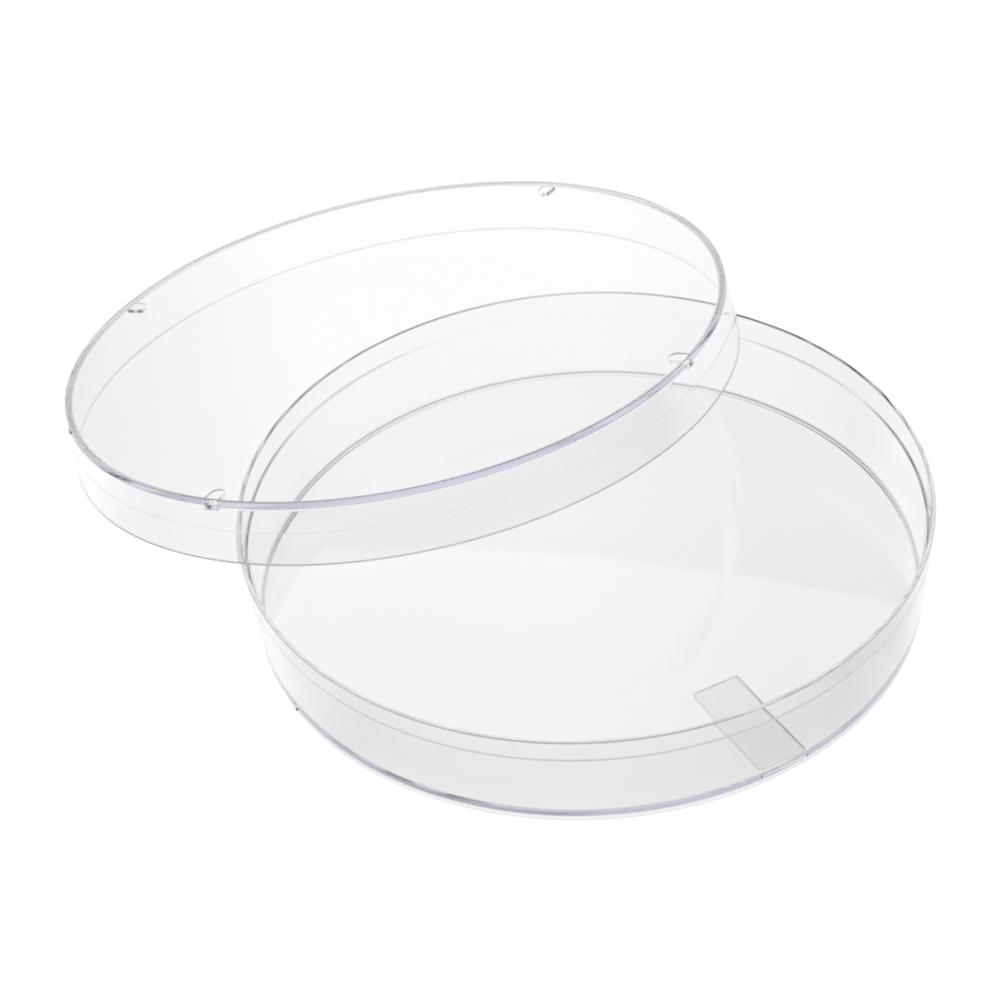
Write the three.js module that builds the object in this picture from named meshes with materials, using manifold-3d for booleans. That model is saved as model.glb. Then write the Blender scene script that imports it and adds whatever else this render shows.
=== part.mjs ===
// A clear moulded petri dish with its lid off and leaning on the rim.
// Millimetres, +Z up. The origin is the centre of the dish floor's underside. The dish stands on a low ring
// around that underside, so the table is FOOT_RING_HEIGHT below the origin.
import * as THREE from 'three';
import { mergeVertices } from 'three/addons/utils/BufferGeometryUtils.js';
import Module from 'manifold-3d';

const wasm = await Module();
wasm.setup();

// Faceting
const TURN_STEPS = 96;
const CORNER_STEPS = 3;

// Dish base, its whole height measured from the table
const BASE_HEIGHT = 13.65;
const BASE_RIM_RADIUS = 43.25;
const BASE_FOOT_RADIUS = 42;
const BASE_FLOOR = 1;
const BASE_FOOT_WALL = 0.6;
const BASE_WALL = 0.74;
const BASE_STEP_WALL = 0.47;
const BASE_RIM_WALL = 0.57;
const BASE_STEP_DEPTH = 3.2;
const BASE_STEP_RAMP = 0.45;
const BASE_FOOT_ROUND = 0.1;
const BASE_FLOOR_ROUND = 0.35;
const BASE_LIP_ROUND = 0.14;

// Low ring that the dish stands on, its inner side sloping up to the floor's underside
const FOOT_RING_HEIGHT = 0.45;
const FOOT_RING_WIDTH = 0.45;
const FOOT_RING_SLOPE = 0.3;

// Lid
const LID_HEIGHT = 8.6;
const LID_SKIRT_RADIUS = 45;
const LID_TOP_RADIUS = 44.3;
const LID_PLATE = 1.2;
const LID_WALL = 0.8;
const LID_SKIRT_WALL = 0.68;
const LID_STEP_DEPTH = 4.4;
const LID_STEP_RAMP = 0.06;
const LID_TOP_ROUND = 0.2;
const LID_INNER_ROUND = 0.3;
const LID_LIP_ROUND = 0.08;

// Vent ribs under the lid's top plate, and the gate marks left by moulding
const VENT_COUNT = 4;
const VENT_FIRST_ANGLE = 58.8;
const VENT_WIDTH = 2;
const VENT_DEPTH = 0.6;
const VENT_INNER_RADIUS = 41.2;
const GATE_WIDTH = 1.2;
const GATE_HEIGHT = 0.6;
const GATE_PROUD = 0.25;
const LID_GATE_ANGLE = 196;
const BASE_GATE_ANGLE = 207.5;
const BASE_GATE_HEIGHT = 0.7;

// How far a joined-on detail runs into its neighbour
const BITE = 0.3;

// Frosted writing patch, let into the underside of the dish floor
const PATCH_LENGTH = 14.8;
const PATCH_WIDTH = 6.4;
const PATCH_THICKNESS = 0.16;
const PATCH_CORNER = 0.4;
const PATCH_GAP = 0.04;
const PATCH_FROM_CENTRE = 33.15;
const PATCH_BEARING = -59.4;
const PATCH_TURN = -64.3;

// The lid leans away from the dish's centre: one edge near the table, the skirt across the dish's rim
const LEAN_ANGLE = 11.82;
const LEAN_OFFSET = 40.6;
const LEAN_BEARING = 124.15;
const LEAN_TABLE_GAP = 0.39;

const radians = THREE.MathUtils.degToRad;

function clearPolystyrene(name) {
  return new THREE.MeshStandardMaterial({
    name, color: 0xeeeef6, roughness: 0.05, metalness: 0, transparent: true, opacity: 0.3,
  });
}

function frostedFilm(name) {
  return new THREE.MeshStandardMaterial({
    name, color: 0xdedee2, roughness: 0.85, metalness: 0, transparent: true, opacity: 0.9,
  });
}

// Points of a quarter-like arc in the profile plane, radius outwards and height upwards, ends included.
function arc(centreRadius, centreHeight, round, startAngle, endAngle) {
  const points = [];
  for (let i = 0; i <= CORNER_STEPS; i += 1) {
    const angle = radians(startAngle + ((endAngle - startAngle) * i) / CORNER_STEPS);
    points.push(new THREE.Vector2(
      centreRadius + round * Math.cos(angle),
      centreHeight + round * Math.sin(angle),
    ));
  }
  return points;
}

// Spins a profile, which starts and ends on the axis, about +Z.
function spin(profile) {
  const geometry = new THREE.LatheGeometry(profile, TURN_STEPS);
  geometry.rotateX(Math.PI / 2);
  return geometry;
}

// A closed triangle mesh as a solid that can be joined and cut.
function solidFrom(geometry) {
  geometry.deleteAttribute('normal');
  geometry.deleteAttribute('uv');
  const merged = mergeVertices(geometry, 1e-4);
  const corners = merged.index.array;
  const kept = [];
  for (let i = 0; i < corners.length; i += 3) {
    const [a, b, c] = corners.slice(i, i + 3);
    if (a !== b && b !== c && c !== a) kept.push(a, b, c);
  }
  return new wasm.Manifold(new wasm.Mesh({
    numProp: 3,
    vertProperties: new Float32Array(merged.attributes.position.array),
    triVerts: new Uint32Array(kept),
  }));
}

function geometryFrom(solid) {
  const mesh = solid.getMesh();
  const geometry = new THREE.BufferGeometry();
  geometry.setAttribute('position', new THREE.BufferAttribute(mesh.vertProperties, 3));
  geometry.setIndex(new THREE.BufferAttribute(mesh.triVerts, 1));
  geometry.computeVertexNormals();
  return geometry;
}

// The outer wall of the dish base flares from its foot on the table to its rim.
function baseOuterRadius(height) {
  const flare = (BASE_RIM_RADIUS - BASE_FOOT_RADIUS) / BASE_HEIGHT;
  return BASE_FOOT_RADIUS + flare * (height + FOOT_RING_HEIGHT);
}

function baseProfile() {
  const rimHeight = BASE_HEIGHT - FOOT_RING_HEIGHT;
  const stepHeight = rimHeight - BASE_STEP_DEPTH;
  const lipHeight = rimHeight - BASE_LIP_ROUND;
  const stepRadius = baseOuterRadius(stepHeight);
  const ringRadius = BASE_FOOT_RADIUS - FOOT_RING_WIDTH;
  const footHeight = BASE_FOOT_ROUND - FOOT_RING_HEIGHT;
  const wallFoot = baseOuterRadius(BASE_FLOOR) - BASE_FOOT_WALL;
  return [
    new THREE.Vector2(0, 0),
    new THREE.Vector2(ringRadius - FOOT_RING_SLOPE, 0),
    new THREE.Vector2(ringRadius, -FOOT_RING_HEIGHT),
    ...arc(BASE_FOOT_RADIUS - BASE_FOOT_ROUND, footHeight, BASE_FOOT_ROUND, -90, 0),
    ...arc(BASE_RIM_RADIUS - BASE_LIP_ROUND, lipHeight, BASE_LIP_ROUND, 0, 90),
    ...arc(BASE_RIM_RADIUS - BASE_RIM_WALL + BASE_LIP_ROUND, lipHeight, BASE_LIP_ROUND, 90, 180),
    new THREE.Vector2(stepRadius - BASE_STEP_WALL, stepHeight + BASE_STEP_RAMP / 2),
    new THREE.Vector2(stepRadius - BASE_WALL, stepHeight - BASE_STEP_RAMP / 2),
    ...arc(wallFoot - BASE_FLOOR_ROUND, BASE_FLOOR + BASE_FLOOR_ROUND, BASE_FLOOR_ROUND, 0, -90),
    new THREE.Vector2(0, BASE_FLOOR),
  ];
}

// The lid's own frame has its origin at the centre of its top face, so the lid lies below it.
function lidOuterRadius(depth) {
  return LID_TOP_RADIUS + ((LID_SKIRT_RADIUS - LID_TOP_RADIUS) * depth) / LID_HEIGHT;
}

function lidProfile() {
  const lipHeight = -LID_HEIGHT + LID_LIP_ROUND;
  const wallTop = lidOuterRadius(LID_PLATE) - LID_WALL;
  const stepRadius = lidOuterRadius(LID_STEP_DEPTH);
  return [
    new THREE.Vector2(0, -LID_PLATE),
    ...arc(wallTop - LID_INNER_ROUND, -LID_PLATE - LID_INNER_ROUND, LID_INNER_ROUND, 90, 0),
    new THREE.Vector2(stepRadius - LID_WALL, -LID_STEP_DEPTH + LID_STEP_RAMP / 2),
    new THREE.Vector2(stepRadius - LID_SKIRT_WALL, -LID_STEP_DEPTH - LID_STEP_RAMP / 2),
    ...arc(LID_SKIRT_RADIUS - LID_SKIRT_WALL + LID_LIP_ROUND, lipHeight, LID_LIP_ROUND, 180, 270),
    ...arc(LID_SKIRT_RADIUS - LID_LIP_ROUND, lipHeight, LID_LIP_ROUND, 270, 360),
    ...arc(LID_TOP_RADIUS - LID_TOP_ROUND, -LID_TOP_ROUND, LID_TOP_ROUND, 0, 90),
    new THREE.Vector2(0, 0),
  ];
}

// A short radial rib with a round inner end, running into the skirt at its outer end.
function ventRib(angle) {
  const endRadius = VENT_WIDTH / 2;
  const wallRadius = lidOuterRadius(LID_PLATE) - LID_WALL + BITE;
  const outline = new THREE.Shape();
  outline.moveTo(wallRadius, endRadius);
  outline.lineTo(VENT_INNER_RADIUS + endRadius, endRadius);
  outline.absarc(VENT_INNER_RADIUS + endRadius, 0, endRadius, Math.PI / 2, (Math.PI * 3) / 2, false);
  outline.lineTo(wallRadius, -endRadius);
  outline.closePath();
  const geometry = new THREE.ExtrudeGeometry(outline, {
    depth: VENT_DEPTH + BITE, bevelEnabled: false, curveSegments: 6,
  });
  geometry.translate(0, 0, -LID_PLATE - VENT_DEPTH);
  geometry.rotateZ(radians(angle));
  return solidFrom(geometry);
}

// The stub left where the moulding gate was broken off, centred on a height of the outer wall.
function gateStub(wallRadius, height, angle) {
  const geometry = new THREE.BoxGeometry(GATE_PROUD + BITE, GATE_WIDTH, GATE_HEIGHT);
  geometry.translate(wallRadius + (GATE_PROUD - BITE) / 2, 0, height);
  geometry.rotateZ(radians(angle));
  return solidFrom(geometry);
}

function patchOutline(margin) {
  const x = PATCH_LENGTH / 2 + margin;
  const y = PATCH_WIDTH / 2 + margin;
  const round = PATCH_CORNER + margin;
  const outline = new THREE.Shape();
  outline.moveTo(-x + round, -y);
  outline.absarc(x - round, -y + round, round, -Math.PI / 2, 0, false);
  outline.absarc(x - round, y - round, round, 0, Math.PI / 2, false);
  outline.absarc(-x + round, y - round, round, Math.PI / 2, Math.PI, false);
  outline.absarc(-x + round, -y + round, round, Math.PI, (Math.PI * 3) / 2, false);
  return outline;
}

// A slab of the patch's outline between two heights, lying where the patch lies on the dish floor.
function patchSlab(margin, bottom, top) {
  const geometry = new THREE.ExtrudeGeometry(patchOutline(margin), {
    depth: top - bottom, bevelEnabled: false, curveSegments: 3,
  });
  geometry.rotateZ(radians(PATCH_TURN));
  geometry.translate(
    PATCH_FROM_CENTRE * Math.cos(radians(PATCH_BEARING)),
    PATCH_FROM_CENTRE * Math.sin(radians(PATCH_BEARING)),
    bottom,
  );
  return solidFrom(geometry);
}

function makeBase() {
  const stubHeight = BASE_GATE_HEIGHT - FOOT_RING_HEIGHT;
  const pocket = patchSlab(PATCH_GAP, -BITE, PATCH_THICKNESS + 2 * PATCH_GAP);
  const solid = solidFrom(spin(baseProfile()))
    .add(gateStub(BASE_FOOT_RADIUS, stubHeight, BASE_GATE_ANGLE))
    .subtract(pocket);
  const mesh = new THREE.Mesh(geometryFrom(solid), clearPolystyrene('clear_base'));
  mesh.name = 'dish_base';
  return mesh;
}

function makeLid() {
  let solid = solidFrom(spin(lidProfile()));
  for (let i = 0; i < VENT_COUNT; i += 1) {
    solid = solid.add(ventRib(VENT_FIRST_ANGLE + (360 / VENT_COUNT) * i));
  }
  solid = solid.add(gateStub(LID_TOP_RADIUS, -LID_TOP_ROUND - GATE_HEIGHT / 2, LID_GATE_ANGLE));
  const mesh = new THREE.Mesh(geometryFrom(solid), clearPolystyrene('clear_lid'));
  mesh.name = 'lid';
  return mesh;
}

function makePatch() {
  const solid = patchSlab(0, PATCH_GAP, PATCH_GAP + PATCH_THICKNESS);
  const mesh = new THREE.Mesh(geometryFrom(solid), frostedFilm('frosted_patch'));
  mesh.name = 'writing_patch';
  return mesh;
}

// Tips the lid about a level line square to its offset, so its outer edge drops to the table.
function leanLid(lid) {
  const bearing = radians(LEAN_BEARING);
  const lean = radians(LEAN_ANGLE);
  const group = new THREE.Group();
  const tipAxis = new THREE.Vector3(Math.cos(bearing + Math.PI / 2), Math.sin(bearing + Math.PI / 2), 0);
  group.quaternion.setFromAxisAngle(tipAxis, lean);
  group.position.set(
    LEAN_OFFSET * Math.cos(bearing),
    LEAN_OFFSET * Math.sin(bearing),
    LEAN_TABLE_GAP - FOOT_RING_HEIGHT + LID_SKIRT_RADIUS * Math.sin(lean) + LID_HEIGHT * Math.cos(lean),
  );
  group.add(lid);
  return group;
}

const dish = new THREE.Group();
dish.add(makeBase());
dish.add(makePatch());
dish.add(leanLid(makeLid()));

export default dish;
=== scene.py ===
import math

import bmesh
import bpy
import numpy as np
from mathutils import Matrix, Vector


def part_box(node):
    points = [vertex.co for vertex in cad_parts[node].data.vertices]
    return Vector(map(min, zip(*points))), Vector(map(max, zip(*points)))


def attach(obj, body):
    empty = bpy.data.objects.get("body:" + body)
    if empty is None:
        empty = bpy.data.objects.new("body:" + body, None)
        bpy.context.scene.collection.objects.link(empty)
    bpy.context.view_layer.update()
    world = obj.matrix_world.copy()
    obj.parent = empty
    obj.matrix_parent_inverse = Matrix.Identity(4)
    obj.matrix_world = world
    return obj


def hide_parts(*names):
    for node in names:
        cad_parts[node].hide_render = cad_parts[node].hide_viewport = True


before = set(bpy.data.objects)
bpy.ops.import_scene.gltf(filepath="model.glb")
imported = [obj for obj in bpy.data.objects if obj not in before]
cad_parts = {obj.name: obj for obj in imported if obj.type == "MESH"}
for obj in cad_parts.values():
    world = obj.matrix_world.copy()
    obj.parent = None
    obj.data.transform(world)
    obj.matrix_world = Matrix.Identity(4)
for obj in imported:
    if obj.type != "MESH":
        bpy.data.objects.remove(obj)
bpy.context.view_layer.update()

MM = 0.001
base_low, base_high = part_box("dish_base")
patch_low, patch_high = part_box("writing_patch")

# ---------------------------------------------------------------- sizes
# Lengths are in millimetres and angles in degrees. What the frame holds is read from it.
FOOT_RING_HEIGHT = -base_low.z / MM
RIM_HEIGHT = base_high.z / MM
BASE_HEIGHT = RIM_HEIGHT + FOOT_RING_HEIGHT
BASE_RIM_RADIUS = base_high.x / MM
BASE_FOOT_RADIUS = 42.0
BASE_FLOOR = 1.0
BASE_FOOT_WALL = 0.6
BASE_WALL = 0.74
BASE_STEP_WALL = 0.47
BASE_RIM_WALL = 0.57
BASE_STEP_DEPTH = 3.2
BASE_STEP_RAMP = 0.45
BASE_FOOT_ROUND = 0.1
BASE_FLOOR_ROUND = 0.35
BASE_LIP_ROUND = 0.14
FOOT_RING_WIDTH = 0.45
FOOT_RING_SLOPE = 0.3
FOOT_RING_ROUND = 0.1

LID_HEIGHT = 8.6
LID_SKIRT_RADIUS = 45.0
LID_TOP_RADIUS = 44.3
LID_PLATE = 1.2
LID_WALL = 0.8
LID_SKIRT_WALL = 0.68
LID_STEP_DEPTH = 4.4
LID_STEP_RAMP = 0.06
LID_TOP_ROUND = 0.2
LID_INNER_ROUND = 0.3
LID_LIP_ROUND = 0.08

VENT_COUNT = 4
VENT_FIRST_ANGLE = 58.8
VENT_WIDTH = 2.0
VENT_DEPTH = 0.6
VENT_INNER_RADIUS = 41.2
GATE_WIDTH = 1.2
GATE_HEIGHT = 0.6
GATE_PROUD = 0.25
LID_GATE_ANGLE = 196.0
BASE_GATE_ANGLE = 207.5
BASE_GATE_HEIGHT = 0.7
BITE = 0.3
EDGE_ROUND = 0.08

PATCH_LENGTH = 14.8
PATCH_WIDTH = 6.4
PATCH_CORNER = 0.4
PATCH_GAP = 0.04
PATCH_TURN = -64.3
PATCH_EDGE = 0.3
PATCH_EDGE_ALPHA = 0.1
PATCH_ALPHA = (0.078, 0.048)

TURN_STEPS = 360
ARC_STEPS = 8
SHORT_ARC_STEPS = 4
ROUND_END_STEPS = 16
GATE_ARC_STEPS = 12
RAMP_STEPS = 6
BEVEL_STEPS = 3
SHARP_ANGLE = 30
FACE_AREA_WEIGHT = 100
SAME_HEIGHT = 0.0001
LEVEL_FACE = 0.9


# ---------------------------------------------------------------- mesh helpers
def arc(centre, round_radius, start, end, steps=ARC_STEPS):
    """Points of an arc in a plane, ends included; angles in degrees."""
    angles = [math.radians(start + (end - start) * i / steps) for i in range(steps + 1)]
    return [
        (centre[0] + round_radius * math.cos(a), centre[1] + round_radius * math.sin(a))
        for a in angles
    ]


def new_piece(name, mesh):
    piece = bpy.data.objects.new(name, mesh)
    bpy.context.scene.collection.objects.link(piece)
    return piece


def spin(name, profile):
    """Spins a profile of (radius, height) in mm, which starts and ends on the axis, about +Z."""
    angles = np.linspace(0, 2 * math.pi, TURN_STEPS, endpoint=False)
    ring = np.stack([np.cos(angles), np.sin(angles)], axis=1)
    points = []
    starts = []
    for radius, height in profile:
        starts.append(len(points))
        if radius == 0:
            points.append((0, 0, height))
        else:
            points += [(radius * x, radius * y, height) for x, y in ring]
    faces = []
    for (r0, _), (r1, _), s0, s1 in zip(profile, profile[1:], starts, starts[1:]):
        for i in range(TURN_STEPS):
            j = (i + 1) % TURN_STEPS
            if r0 == 0:
                faces.append((s0, s1 + j, s1 + i))
            elif r1 == 0:
                faces.append((s0 + i, s0 + j, s1))
            else:
                faces.append((s0 + i, s0 + j, s1 + j, s1 + i))
    mesh = bpy.data.meshes.new(name)
    mesh.from_pydata([Vector(p) * MM for p in points], [], faces)
    mesh.update()
    return new_piece(name, mesh)


def prism(outline, low, high, place, edge_round=0.0):
    """A closed prism of an outline in mm, as a mesh; its lower edges can be rounded."""
    shape = bmesh.new()
    bottom = shape.faces.new([shape.verts.new((x * MM, y * MM, high * MM)) for x, y in outline])
    raised = bmesh.ops.extrude_face_region(shape, geom=[bottom])
    moved = [v for v in raised["geom"] if isinstance(v, bmesh.types.BMVert)]
    bmesh.ops.translate(shape, verts=moved, vec=(0, 0, (low - high) * MM))
    bmesh.ops.recalc_face_normals(shape, faces=shape.faces[:])
    if edge_round:
        lower = [e for e in shape.edges if all(abs(v.co.z / MM - low) < SAME_HEIGHT for v in e.verts)]
        bmesh.ops.bevel(
            shape, geom=lower, offset=edge_round * MM, segments=BEVEL_STEPS, profile=0.5, affect="EDGES")
    shape.transform(place)
    mesh = bpy.data.meshes.new("tool")
    shape.to_mesh(mesh)
    shape.free()
    return mesh


def combine(piece, tool_mesh, operation):
    """Joins a closed mesh onto a piece, or cuts it out, and keeps the result as the piece's mesh."""
    tool = new_piece("tool", tool_mesh)
    modifier = piece.modifiers.new("combine", "BOOLEAN")
    modifier.object = tool
    modifier.operation = operation
    modifier.solver = "EXACT"
    graph = bpy.context.evaluated_depsgraph_get()
    mesh = bpy.data.meshes.new_from_object(piece.evaluated_get(graph))
    piece.modifiers.clear()
    piece.data = mesh
    bpy.data.objects.remove(tool)


def smooth(piece):
    piece.data.shade_smooth()
    piece.data.set_sharp_from_angle(angle=math.radians(SHARP_ANGLE))
    weighted = piece.modifiers.new("even_normals", "WEIGHTED_NORMAL")
    weighted.keep_sharp = True
    weighted.weight = FACE_AREA_WEIGHT


def turned(angle):
    return Matrix.Rotation(math.radians(angle), 4, "Z")


# ---------------------------------------------------------------- shapes
def base_outer_radius(height):
    """The outer wall flares from its foot on the table to its rim."""
    flare = (BASE_RIM_RADIUS - BASE_FOOT_RADIUS) / BASE_HEIGHT
    return BASE_FOOT_RADIUS + flare * (height + FOOT_RING_HEIGHT)


def base_profile():
    step = RIM_HEIGHT - BASE_STEP_DEPTH
    lip = RIM_HEIGHT - BASE_LIP_ROUND
    ring = BASE_FOOT_RADIUS - FOOT_RING_WIDTH
    corner = ring - FOOT_RING_SLOPE - FOOT_RING_ROUND
    foot = BASE_FOOT_ROUND - FOOT_RING_HEIGHT
    wall_foot = base_outer_radius(BASE_FLOOR) - BASE_FOOT_WALL
    points = [(0, 0)]
    points += arc((corner, -FOOT_RING_ROUND), FOOT_RING_ROUND, 90, 30, SHORT_ARC_STEPS)
    points += [(ring, -FOOT_RING_HEIGHT)]
    points += arc((BASE_FOOT_RADIUS - BASE_FOOT_ROUND, foot), BASE_FOOT_ROUND, -90, 0)
    points += arc((BASE_RIM_RADIUS - BASE_LIP_ROUND, lip), BASE_LIP_ROUND, 0, 90)
    points += arc((BASE_RIM_RADIUS - BASE_RIM_WALL + BASE_LIP_ROUND, lip), BASE_LIP_ROUND, 90, 180)
    points += ramp_points(base_outer_radius, step, BASE_STEP_WALL, BASE_WALL, BASE_STEP_RAMP)
    points += arc((wall_foot - BASE_FLOOR_ROUND, BASE_FLOOR + BASE_FLOOR_ROUND), BASE_FLOOR_ROUND, 0, -90)
    points += [(0, BASE_FLOOR)]
    return points


def ramp_points(outer_radius, height, upper_wall, lower_wall, ramp_height):
    """An S-shaped ramp on a wall's inside, from one wall thickness down to the next."""
    points = []
    for i in range(RAMP_STEPS + 1):
        t = i / RAMP_STEPS
        ease = t * t * (3 - 2 * t)
        z = height + ramp_height * (0.5 - t)
        points.append((outer_radius(z) - upper_wall - (lower_wall - upper_wall) * ease, z))
    return points


def lid_outer_radius(height):
    """In the lid's own frame, whose origin is the centre of its top face, the skirt flares downwards."""
    return LID_TOP_RADIUS - (LID_SKIRT_RADIUS - LID_TOP_RADIUS) * height / LID_HEIGHT


def lid_profile():
    lip = -LID_HEIGHT + LID_LIP_ROUND
    wall_top = lid_outer_radius(-LID_PLATE) - LID_WALL
    points = [(0, -LID_PLATE)]
    points += arc((wall_top - LID_INNER_ROUND, -LID_PLATE - LID_INNER_ROUND), LID_INNER_ROUND, 90, 0)
    points += ramp_points(lid_outer_radius, -LID_STEP_DEPTH, LID_WALL, LID_SKIRT_WALL, LID_STEP_RAMP)
    points += arc((LID_SKIRT_RADIUS - LID_SKIRT_WALL + LID_LIP_ROUND, lip), LID_LIP_ROUND, 180, 270)
    points += arc((LID_SKIRT_RADIUS - LID_LIP_ROUND, lip), LID_LIP_ROUND, 270, 360)
    points += arc((LID_TOP_RADIUS - LID_TOP_ROUND, -LID_TOP_ROUND), LID_TOP_ROUND, 0, 90)
    points += [(0, 0)]
    return points


def vent_rib(angle):
    """A short radial rib with a round inner end, under the lid's plate and joined to its skirt."""
    half = VENT_WIDTH / 2
    wall = lid_outer_radius(-LID_PLATE) - LID_WALL + BITE
    outline = arc((VENT_INNER_RADIUS + half, 0), half, 90, 270, ROUND_END_STEPS)
    outline += [(wall, -half), (wall, half)]
    return prism(outline, -LID_PLATE - VENT_DEPTH, -LID_PLATE + BITE, turned(angle), EDGE_ROUND)


def gate_stub(wall_radius, height, angle):
    """The stub left where the moulding gate was broken off, centred on a height of the outer wall."""
    low = height - GATE_HEIGHT / 2
    half = GATE_WIDTH / 2
    tip = arc((wall_radius, 0), half, -90, 90, GATE_ARC_STEPS)
    outline = [(wall_radius + GATE_PROUD * (x - wall_radius) / half, y) for x, y in tip]
    outline += [(wall_radius - BITE, half), (wall_radius - BITE, -half)]
    return prism(outline, low, low + GATE_HEIGHT, turned(angle), EDGE_ROUND)


def patch_pocket():
    """The shallow pocket in the floor's underside that holds the writing patch."""
    centre = (patch_low + patch_high) / 2
    x = PATCH_LENGTH / 2 + PATCH_GAP
    y = PATCH_WIDTH / 2 + PATCH_GAP
    r = PATCH_CORNER + PATCH_GAP
    outline = []
    for i, corner in enumerate(((x - r, r - y), (x - r, y - r), (r - x, y - r), (r - x, r - y))):
        outline += arc(corner, r, 90 * (i - 1), 90 * i, SHORT_ARC_STEPS)
    place = Matrix.Translation((centre.x, centre.y, 0)) @ turned(PATCH_TURN)
    return prism(outline, -BITE, patch_high.z / MM + PATCH_GAP, place)


def lid_place():
    """The lid's lean and the centre of its top face in the row frame, read from its CAD solid."""
    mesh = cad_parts["lid"].data
    up = Vector((0, 0, 0))
    for face in mesh.polygons:
        if face.normal.z > LEVEL_FACE:
            up += face.normal * face.area
    up.normalize()
    lean = Vector((0, 0, 1)).rotation_difference(up).to_matrix()
    flat = np.array([lean.transposed() @ v.co for v in mesh.vertices])
    low, high = flat.min(axis=0), flat.max(axis=0)
    centre = Vector(((low[0] + high[0]) / 2, (low[1] + high[1]) / 2, high[2]))
    return Matrix.Translation(lean @ centre) @ lean.to_4x4()


# ---------------------------------------------------------------- material helpers
def new_material(name):
    material = bpy.data.materials.new(name)
    material.use_nodes = True
    return material, material.node_tree.nodes, material.node_tree.links


def noise(nodes, links, scale, detail):
    """Noise in object space, with scale in features per metre."""
    coordinates = nodes.new("ShaderNodeTexCoord")
    texture = nodes.new("ShaderNodeTexNoise")
    texture.inputs["Scale"].default_value = scale
    texture.inputs["Detail"].default_value = detail
    links.new(coordinates.outputs["Object"], texture.inputs["Vector"])
    return texture.outputs["Fac"]


def remap(nodes, links, value, low, high, to_low, to_high):
    ranged = nodes.new("ShaderNodeMapRange")
    ranged.inputs["From Min"].default_value = low
    ranged.inputs["From Max"].default_value = high
    ranged.inputs["To Min"].default_value = to_low
    ranged.inputs["To Max"].default_value = to_high
    links.new(value, ranged.inputs["Value"])
    return ranged.outputs["Result"]


def bump(nodes, links, height, distance):
    node = nodes.new("ShaderNodeBump")
    node.inputs["Distance"].default_value = distance
    links.new(height, node.inputs["Height"])
    return node.outputs["Normal"]


def math_node(nodes, links, operation, *values):
    node = nodes.new("ShaderNodeMath")
    node.operation = operation
    for socket, value in zip(node.inputs, values):
        if isinstance(value, (int, float)):
            socket.default_value = value
        else:
            links.new(value, socket)
    return node.outputs[0]


def vector_node(nodes, links, operation, *values):
    node = nodes.new("ShaderNodeVectorMath")
    node.operation = operation
    for socket, value in zip(node.inputs, values):
        if isinstance(value, tuple):
            socket.default_value = value
        else:
            links.new(value, socket)
    return node.outputs["Value"] if operation in ("DOT_PRODUCT", "LENGTH") else node.outputs["Vector"]


def to_camera(nodes, links, vector):
    """A world direction in the camera's axes: x right, y up, z ahead."""
    node = nodes.new("ShaderNodeVectorTransform")
    node.vector_type = "VECTOR"
    node.convert_from = "WORLD"
    node.convert_to = "CAMERA"
    if isinstance(vector, tuple):
        node.inputs[0].default_value = vector
    else:
        links.new(vector, node.inputs[0])
    return node.outputs[0]


def level_axes(nodes, links, vector):
    """How far a world direction points level to the camera's right, and level ahead of it."""
    up = to_camera(nodes, links, (0, 0, 1))
    right = vector_node(nodes, links, "CROSS_PRODUCT", up, (0, 0, 1))
    right = vector_node(nodes, links, "NORMALIZE", right)
    ahead = vector_node(nodes, links, "CROSS_PRODUCT", right, up)
    seen = to_camera(nodes, links, vector)
    return (
        vector_node(nodes, links, "DOT_PRODUCT", seen, right),
        vector_node(nodes, links, "DOT_PRODUCT", seen, ahead),
    )


def mix_node(nodes, links, factor, low, high):
    """A value that goes from low to high as the factor goes from 0 to 1."""
    node = nodes.new("ShaderNodeMix")
    links.new(factor, node.inputs["Factor"])
    for name, value in (("A", low), ("B", high)):
        if isinstance(value, (int, float)):
            node.inputs[name].default_value = value
        else:
            links.new(value, node.inputs[name])
    return node.outputs["Result"]


def two_shades(nodes, links, value, low, high):
    """A colour between two, each given as (value, colour)."""
    node = nodes.new("ShaderNodeValToRGB")
    for element, (position, colour) in zip(node.color_ramp.elements, (low, high)):
        element.position = position
        element.color = (*colour, 1)
    links.new(value, node.inputs["Fac"])
    return node.outputs["Color"]


# ---------------------------------------------------------------- materials
# A noise is (features per metre, detail), and bump heights are in metres.
IOR_POLYSTYRENE = 1.59
SCUFF_NOISE = (180, 6)
SCUFF_RANGE = (0.5, 0.8)
SCUFF_ROUGHNESS = 0.004
FLOW_NOISE = (45, 1)
FLOW_HEIGHT = 0.00002
ABSORPTION_COLOUR = (0.59, 0.55, 0.74)
ABSORPTION_PER_METRE = 10.0

FROST_NOISE = (2500, 4)
FROST_DARK = (0.3, (0.5, 0.5, 0.52))
FROST_LIGHT = (0.7, (0.64, 0.64, 0.65))
FROST_ROUGHNESS = 0.8
GRAIN_NOISE = (6000, 2)
GRAIN_HEIGHT = 0.00002

# The lip's cut edge is matte; its mottled grey colour is painted shade, the dark line along the skirt's
# mouth.
EDGE_MOTTLE_NOISE = (1500, 3)
EDGE_SHADE_DARK = (0.0, (0.7, 0.7, 0.73))
EDGE_SHADE_LIGHT = (1.0, (0.85, 0.85, 0.88))
EDGE_MOTTLE_RANGE = (0.3, 0.7)
EDGE_ROUGHNESS = (0.3, 0.4)
EDGE_TRANSMISSION = 0.9

# The moulded foot is left a little matte where the wall meets the table (mm, from the dish's centre)
FOOT_MATTE_RADIUS = (41.45, 41.6)
FOOT_MATTE_HEIGHT = (1.2, 1.0)
FOOT_MATTE_ROUGHNESS = 0.14


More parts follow.
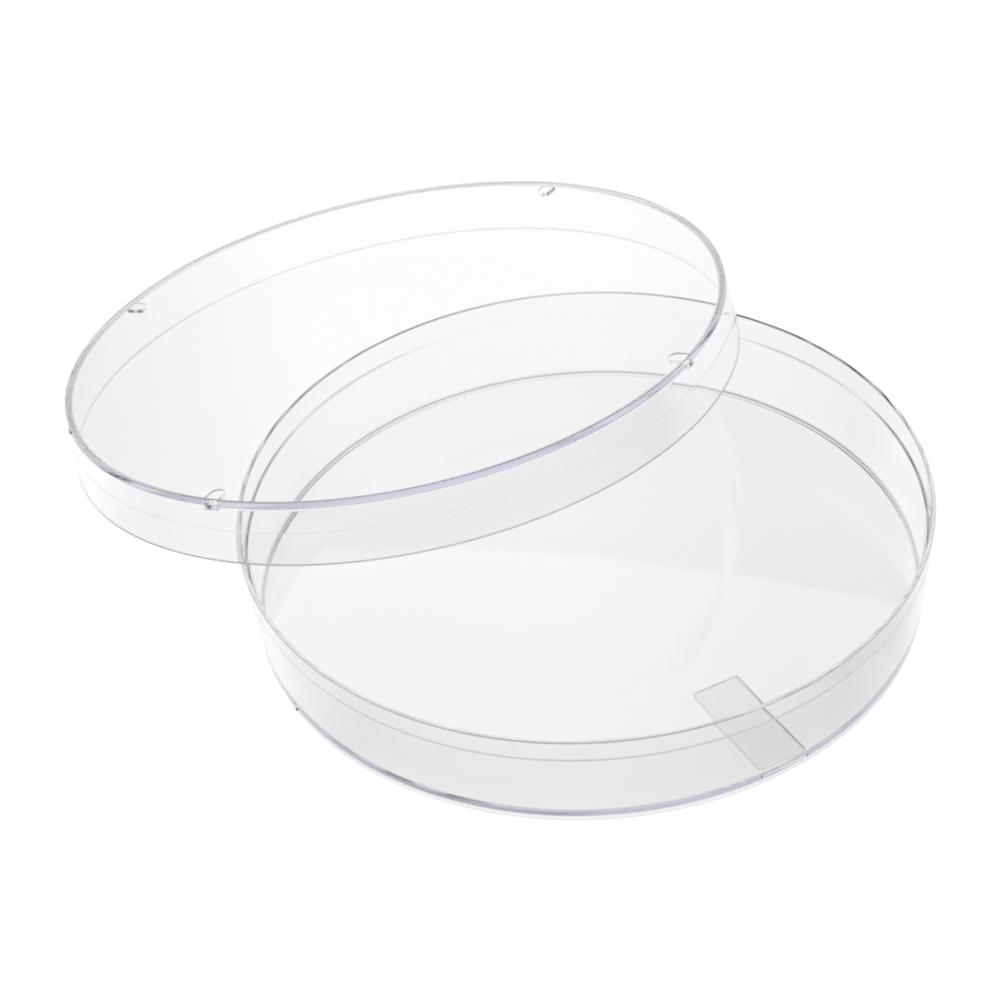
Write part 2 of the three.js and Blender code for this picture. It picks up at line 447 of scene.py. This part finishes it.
def foot_matte(nodes, links):
    """Roughness of the dish's foot, and 0 elsewhere."""
    place = nodes.new("ShaderNodeTexCoord").outputs["Object"]
    level = vector_node(nodes, links, "MULTIPLY", place, (1 / MM, 1 / MM, 0))
    radius = vector_node(nodes, links, "LENGTH", level)
    height = vector_node(nodes, links, "DOT_PRODUCT", place, (0, 0, 1 / MM))
    outer = remap(nodes, links, radius, *FOOT_MATTE_RADIUS, 0.0, 1.0)
    low = remap(nodes, links, height, *FOOT_MATTE_HEIGHT, 0.0, FOOT_MATTE_ROUGHNESS)
    return math_node(nodes, links, "MULTIPLY", outer, low)


def clear_polystyrene(name, with_foot=False):
    """Clear polystyrene: it absorbs a little more green than blue, so thick edges look lavender grey."""
    material, nodes, links = new_material(name)
    bsdf = nodes["Principled BSDF"]
    bsdf.inputs["Base Color"].default_value = (1, 1, 1, 1)
    bsdf.inputs["IOR"].default_value = IOR_POLYSTYRENE
    bsdf.inputs["Transmission Weight"].default_value = 1.0
    scuffs = noise(nodes, links, *SCUFF_NOISE)
    scuffs = remap(nodes, links, scuffs, *SCUFF_RANGE, 0.0, SCUFF_ROUGHNESS)
    if with_foot:
        scuffs = math_node(nodes, links, "ADD", scuffs, foot_matte(nodes, links))
    links.new(scuffs, bsdf.inputs["Roughness"])
    flow = bump(nodes, links, noise(nodes, links, *FLOW_NOISE), FLOW_HEIGHT)
    links.new(flow, bsdf.inputs["Normal"])
    absorb = nodes.new("ShaderNodeVolumeAbsorption")
    absorb.inputs["Color"].default_value = (*ABSORPTION_COLOUR, 1)
    absorb.inputs["Density"].default_value = ABSORPTION_PER_METRE
    links.new(absorb.outputs["Volume"], nodes["Material Output"].inputs["Volume"])
    return material


def frosted_film(name):
    """A thin frosted film: finely mottled, mostly see-through, darker along its two long edges."""
    material, nodes, links = new_material(name)
    bsdf = nodes["Principled BSDF"]
    mottle = noise(nodes, links, *FROST_NOISE)
    links.new(two_shades(nodes, links, mottle, FROST_DARK, FROST_LIGHT), bsdf.inputs["Base Color"])
    coordinates = nodes.new("ShaderNodeTexCoord")
    centre = (patch_low + patch_high) / 2
    across = math.radians(PATCH_TURN + 90)
    offset = vector_node(nodes, links, "SUBTRACT", coordinates.outputs["Object"], tuple(centre))
    offset = vector_node(nodes, links, "DOT_PRODUCT", offset, (math.cos(across), math.sin(across), 0))
    offset = math_node(nodes, links, "ABSOLUTE", offset)
    edge = (PATCH_WIDTH / 2 - PATCH_EDGE) * MM
    rim = remap(nodes, links, offset, edge, edge + PATCH_EDGE / 2 * MM, 0.0, PATCH_EDGE_ALPHA)
    alpha = remap(nodes, links, mottle, FROST_DARK[0], FROST_LIGHT[0], *PATCH_ALPHA)
    links.new(math_node(nodes, links, "ADD", alpha, rim), bsdf.inputs["Alpha"])
    bsdf.inputs["Roughness"].default_value = FROST_ROUGHNESS
    grain = bump(nodes, links, noise(nodes, links, *GRAIN_NOISE), GRAIN_HEIGHT)
    links.new(grain, bsdf.inputs["Normal"])
    return material


def matte_shaded_edge(name):
    """The cut edge of the lid's skirt: polystyrene that is left matte, with a mottled grey colour that
    paints shade, the dark line along the skirt's mouth.
    """
    material, nodes, links = new_material(name)
    bsdf = nodes["Principled BSDF"]
    bsdf.inputs["IOR"].default_value = IOR_POLYSTYRENE
    bsdf.inputs["Transmission Weight"].default_value = EDGE_TRANSMISSION
    edge_mottle = noise(nodes, links, *EDGE_MOTTLE_NOISE)
    links.new(two_shades(nodes, links, edge_mottle, EDGE_SHADE_DARK, EDGE_SHADE_LIGHT), bsdf.inputs["Base Color"])
    links.new(remap(nodes, links, edge_mottle, *EDGE_MOTTLE_RANGE, *EDGE_ROUGHNESS), bsdf.inputs["Roughness"])
    return material


# The table's glow is painted light, in shares of white: painted shade lowers it under the dish, to the
# right, before the dish and where the table is seen from behind. Places on it are in mm right of and beyond
# the dish's centre. SEEN_FROM_FRONT and FROM_ABOVE are cosines of the angle at which the table is seen.
FLOOR_COLOUR = 0.12
FLOOR_OPEN_LEFT = 0.94
FLOOR_OPEN_RIGHT = 0.845
FLOOR_UNDER_PAINTED_SHADE = 0.89
PAINTED_BACKGLOW_UNDER = 0.5
PAINTED_BACKGLOW_BEFORE = 0.2
FLOOR_FADE = 4.0
SEEN_FROM_FRONT = (-0.6, 0.1)
DIM_BEFORE = (0.0, 25.0)
DIM_RIGHT = (5.0, 40.0)
FROM_ABOVE = (0.7, 0.95)


def seen_from_above(nodes, links):
    """How far the camera looks down on the table: 0 at an ordinary angle, 1 near the vertical."""
    up = to_camera(nodes, links, (0, 0, 1))
    depth = vector_node(nodes, links, "DOT_PRODUCT", up, (0, 0, -1))
    return remap(nodes, links, depth, *FROM_ABOVE, 0.0, 1.0)


def floor_material():
    """A white table that glows with painted light: it shines towards the camera, and less so away from it,
    with painted shade where it lies under the dish, before it and to the right. From above it shines evenly,
    and the camera itself sees it white."""
    material, nodes, links = new_material("pale_floor")
    bsdf = nodes["Principled BSDF"]
    bsdf.inputs["Base Color"].default_value = (FLOOR_COLOUR, FLOOR_COLOUR, FLOOR_COLOUR, 1)
    bsdf.inputs["Roughness"].default_value = 1.0
    bsdf.inputs["Specular IOR Level"].default_value = 0.0
    bsdf.inputs["Emission Color"].default_value = (1, 1, 1, 1)
    geometry = nodes.new("ShaderNodeNewGeometry")
    place = vector_node(nodes, links, "MULTIPLY", geometry.outputs["Position"], (1 / MM, 1 / MM, 0))
    radius = vector_node(nodes, links, "LENGTH", place)
    # Painted shade: the glow drops under the dish, fades to the right and before the dish, and is weaker
    # where the table is seen from behind.
    open_table = remap(nodes, links, radius, BASE_FOOT_RADIUS, BASE_FOOT_RADIUS + FLOOR_FADE, 0.0, 1.0)
    right, beyond = level_axes(nodes, links, place)
    open_painted_glow = remap(nodes, links, right, *DIM_RIGHT, FLOOR_OPEN_LEFT, FLOOR_OPEN_RIGHT)
    glow = mix_node(nodes, links, open_table, FLOOR_UNDER_PAINTED_SHADE, open_painted_glow)
    open_painted_backglow = remap(nodes, links, beyond, *DIM_BEFORE, PAINTED_BACKGLOW_BEFORE, 1.0)
    painted_backglow = mix_node(nodes, links, open_table, PAINTED_BACKGLOW_UNDER, open_painted_backglow)
    _, ahead = level_axes(nodes, links, geometry.outputs["Incoming"])
    share = remap(nodes, links, ahead, *SEEN_FROM_FRONT, 1.0, 0.0)
    share = math_node(nodes, links, "MAXIMUM", share, painted_backglow)
    share = math_node(nodes, links, "MAXIMUM", share, seen_from_above(nodes, links))
    glow = math_node(nodes, links, "MULTIPLY", glow, share)
    path = nodes.new("ShaderNodeLightPath")
    seen = math_node(nodes, links, "MAXIMUM", glow, path.outputs["Is Camera Ray"])
    links.new(seen, bsdf.inputs["Emission Strength"])
    return material


# ---------------------------------------------------------------- pieces
def make_base():
    base = spin("dish_base_shell", base_profile())
    base.data.materials.append(clear_polystyrene("clear_base", with_foot=True))
    combine(base, gate_stub(BASE_FOOT_RADIUS, BASE_GATE_HEIGHT - FOOT_RING_HEIGHT, BASE_GATE_ANGLE), "UNION")
    combine(base, patch_pocket(), "DIFFERENCE")
    return base


def make_lid():
    lid = spin("lid_shell", lid_profile())
    lid.data.materials.append(clear_polystyrene("clear_lid"))
    for i in range(VENT_COUNT):
        combine(lid, vent_rib(VENT_FIRST_ANGLE + i * 360 / VENT_COUNT), "UNION")
    combine(lid, gate_stub(LID_TOP_RADIUS, -LID_TOP_ROUND - GATE_HEIGHT / 2, LID_GATE_ANGLE), "UNION")
    # The lowest faces of the skirt take the matte edge, whose grey colour is painted shade.
    lid.data.materials.append(matte_shaded_edge("matte_shaded_edge"))
    for face in lid.data.polygons:
        if face.center.z < (LID_LIP_ROUND / 4 - LID_HEIGHT) * MM:
            face.material_index = 1
    lid.data.transform(lid_place())
    return lid


for shell, body, node, slot in (
    (make_base(), "base", "dish_base", "clear_base"),
    (make_lid(), "lid", "lid", "clear_lid"),
):
    smooth(shell)
    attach(shell, body)
    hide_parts(node)

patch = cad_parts["writing_patch"]
patch.data.materials.clear()
patch.data.materials.append(frosted_film("frosted_film"))

# ---------------------------------------------------------------- stage
FLOOR_HALF = 3.0
FLOOR_GAP = 0.00002
floor_z = base_low.z - FLOOR_GAP


def make_floor():
    corners = [(-1, -1), (1, -1), (1, 1), (-1, 1)]
    mesh = bpy.data.meshes.new("floor")
    mesh.from_pydata([(FLOOR_HALF * x, FLOOR_HALF * y, floor_z) for x, y in corners], [], [(0, 1, 2, 3)])
    floor = new_piece("floor", mesh)
    floor.data.materials.append(floor_material())


def ramp(nodes, stops):
    """A colour ramp of grey levels at sines of elevation, as (elevation in degrees, level) stops."""
    node = nodes.new("ShaderNodeValToRGB")
    elements = node.color_ramp.elements
    while len(elements) < len(stops):
        elements.new(0.5)
    for element, (elevation, level) in zip(elements, stops):
        element.position = math.sin(math.radians(elevation))
        element.color = (level, level, level, 1)
    return node


# Grey levels of the tent at elevations in degrees. BEHIND and the places of the gap and the glow are
# cosines, of the angle from straight ahead of the camera and from level to its right.
BACKDROP_STOPS = (
    (0, 0.94), (15, 0.94), (22, 0.85), (34, 0.55), (37, 0.35), (40, 0.22), (41, 0.05), (42, 0.0))
AROUND_STOPS = ((0, 0.85), (30, 0.8), (60, 0.85), (90, 0.85))
SOFTBOX_STOPS = ((0, 0.43), (40.5, 0.43), (41.5, 0.38), (43.5, 0.15), (60, 0.3), (90, 0.35))
GLOW_STOPS = ((0, 0.0), (30, 0.0), (36, 0.5), (60, 0.5), (90, 0.4))
BEHIND = (0.3, 0.6)
BACKDROP_GAP = -0.3
BACKDROP_GAP_LEVEL = 0.1
BACKDROP_GAP_EDGE = (0.02, 0.14)
GLOW_RIGHT_EDGE = (0.02, 0.09)
SOFTBOX_EDGE = (40.26, 40.36)
SOFTBOX_TILT = 0.08
SOFTBOX_BEND = 0.4


def studio_world():
    """A white tent that turns with the camera: grey around it, and behind the dish a backdrop with
    a gap, a glow that fades to the right, and a softbox with a sharp, bent lower edge. The camera
    itself sees it white."""
    world = bpy.data.worlds.new("studio")
    bpy.context.scene.world = world
    world.use_nodes = True
    nodes, links = world.node_tree.nodes, world.node_tree.links
    direction = nodes.new("ShaderNodeTexCoord").outputs["Generated"]
    height = vector_node(nodes, links, "DOT_PRODUCT", direction, (0, 0, 1))
    right, ahead = level_axes(nodes, links, direction)

    def layer(stops, height):
        shade = ramp(nodes, stops)
        links.new(height, shade.inputs["Fac"])
        return shade.outputs["Color"]

    from_gap = math_node(nodes, links, "ABSOLUTE", math_node(nodes, links, "SUBTRACT", right, BACKDROP_GAP))
    backdrop = math_node(
        nodes, links, "MULTIPLY", layer(BACKDROP_STOPS, height),
        remap(nodes, links, from_gap, *BACKDROP_GAP_EDGE, BACKDROP_GAP_LEVEL, 1.0))
    glow = math_node(
        nodes, links, "MULTIPLY", layer(GLOW_STOPS, height),
        remap(nodes, links, right, *GLOW_RIGHT_EDGE, 1.0, 0.0))
    bend = math_node(nodes, links, "MULTIPLY_ADD", right, SOFTBOX_BEND, SOFTBOX_TILT)
    rise = math_node(nodes, links, "SUBTRACT", height, math_node(nodes, links, "MULTIPLY", right, bend))
    edge = [math.sin(math.radians(elevation)) for elevation in SOFTBOX_EDGE]
    softbox = math_node(
        nodes, links, "MULTIPLY", layer(SOFTBOX_STOPS, rise),
        remap(nodes, links, rise, *edge, 0.0, 1.0))
    behind = math_node(nodes, links, "ADD", math_node(nodes, links, "ADD", backdrop, glow), softbox)
    share = remap(nodes, links, ahead, *BEHIND, 0.0, 1.0)
    tent = mix_node(nodes, links, share, layer(AROUND_STOPS, height), behind)
    path = nodes.new("ShaderNodeLightPath")
    seen = math_node(nodes, links, "MAXIMUM", tent, path.outputs["Is Camera Ray"])
    links.new(seen, nodes["Background"].inputs["Strength"])
    nodes["Background"].inputs["Color"].default_value = (1, 1, 1, 1)


make_floor()
studio_world()

# ---------------------------------------------------------------- camera
# Distance and offsets are in rim diameters from the centre of the dish on the table, lens and sensor
# in millimetres, and the nearest distance seen in metres.
CAMERA_ELEVATION = 39.345
CAMERA_ROLL = -4.584
CAMERA_DISTANCE = 4.3436
CAMERA_RIGHT = -0.1309
CAMERA_UP = 0.1208
CAMERA_LENS = 106.3
SENSOR_WIDTH = 36
NEAREST_SEEN = 0.01


def make_camera():
    elevation = math.radians(CAMERA_ELEVATION)
    roll = math.radians(CAMERA_ROLL)
    forward = Vector((0, math.cos(elevation), -math.sin(elevation)))
    level_right = Vector((1, 0, 0))
    level_up = level_right.cross(forward)
    right = level_right * math.cos(roll) + level_up * math.sin(roll)
    up = level_up * math.cos(roll) - level_right * math.sin(roll)
    offset = right * CAMERA_RIGHT + up * CAMERA_UP - forward * CAMERA_DISTANCE
    place = offset * (2 * BASE_RIM_RADIUS * MM) + Vector((0, 0, base_low.z))
    camera = bpy.data.objects.new("camera", bpy.data.cameras.new("camera"))
    bpy.context.scene.collection.objects.link(camera)
    turn = Matrix((right, up, -forward)).transposed()
    camera.matrix_world = Matrix.Translation(place) @ turn.to_4x4()
    camera.data.lens = CAMERA_LENS
    camera.data.sensor_width = SENSOR_WIDTH
    camera.data.clip_start = NEAREST_SEEN
    bpy.context.scene.camera = camera


make_camera()

# Light goes many times through the clear walls and along them, so paths need many bounces.
LIGHT_BOUNCES = 64
CLEAR_BOUNCES = 16
PIXEL_FILTER = 2.2
scene = bpy.context.scene
scene.view_settings.view_transform = "Standard"
scene.cycles.filter_width = PIXEL_FILTER
scene.cycles.max_bounces = LIGHT_BOUNCES
scene.cycles.glossy_bounces = LIGHT_BOUNCES
scene.cycles.transmission_bounces = LIGHT_BOUNCES
scene.cycles.transparent_max_bounces = CLEAR_BOUNCES
